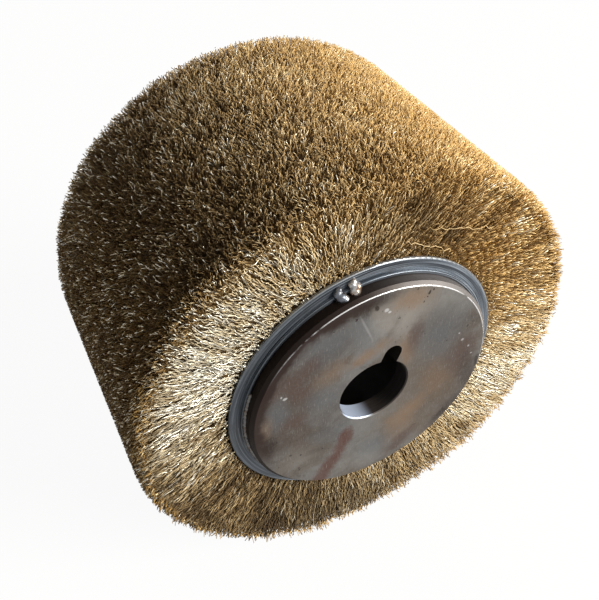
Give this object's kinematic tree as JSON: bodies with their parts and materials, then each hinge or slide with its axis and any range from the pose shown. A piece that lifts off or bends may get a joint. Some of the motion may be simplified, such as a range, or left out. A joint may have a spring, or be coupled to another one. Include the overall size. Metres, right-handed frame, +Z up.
{
  "type": "wire drum brush",
  "caption": "Drum of crimped brass-coated wires on a hollow welded steel core with flat end plates, and a shaft bore with a driving slot.",
  "frame": {"origin": "on the shaft bore's axis, midway between the two end faces", "axes": "+Y along the bore's axis from the front end to the rear end, +Z up with the drum lying on its wires, +X to the right seen from the front"},
  "size_m": [0.254, 0.165, 0.2535],
  "materials": {
    "machined_steel": "turned mild steel, stained with light rust and heat tint",
    "tube_steel": "dark mill-scale steel tube",
    "ring_steel": "blue-grey rolled steel with fine round streaks",
    "weld_metal": "rippled weld metal, bright on top and dark at its edges",
    "channel_steel": "plain pressed steel strip",
    "brass_coated_wire": "crimped brass-coated steel wire, golden with cream glints"
  },
  "bodies": {
    "root": {"core_tube": "tube_steel", "front_end_plate": "machined_steel", "rear_end_plate": "machined_steel", "front_seam_weld": "weld_metal", "rear_seam_weld": "weld_metal", "front_side_ring": "ring_steel", "rear_side_ring": "ring_steel", "front_tack_welds": "weld_metal", "rear_tack_welds": "weld_metal", "section_1_channel": "channel_steel", "section_1_anchor_ring": "channel_steel", "section_1_wires": "brass_coated_wire", "section_2_channel": "channel_steel", "section_2_anchor_ring": "channel_steel", "section_2_wires": "brass_coated_wire", "section_3_channel": "channel_steel", "section_3_anchor_ring": "channel_steel", "section_3_wires": "brass_coated_wire", "section_4_channel": "channel_steel", "section_4_anchor_ring": "channel_steel", "section_4_wires": "brass_coated_wire", "section_5_channel": "channel_steel", "section_5_anchor_ring": "channel_steel", "section_5_wires": "brass_coated_wire", "section_6_channel": "channel_steel", "section_6_anchor_ring": "channel_steel", "section_6_wires": "brass_coated_wire", "section_7_channel": "channel_steel", "section_7_anchor_ring": "channel_steel", "section_7_wires": "brass_coated_wire", "section_8_channel": "channel_steel", "section_8_anchor_ring": "channel_steel", "section_8_wires": "brass_coated_wire"}
  },
  "joints": []
}
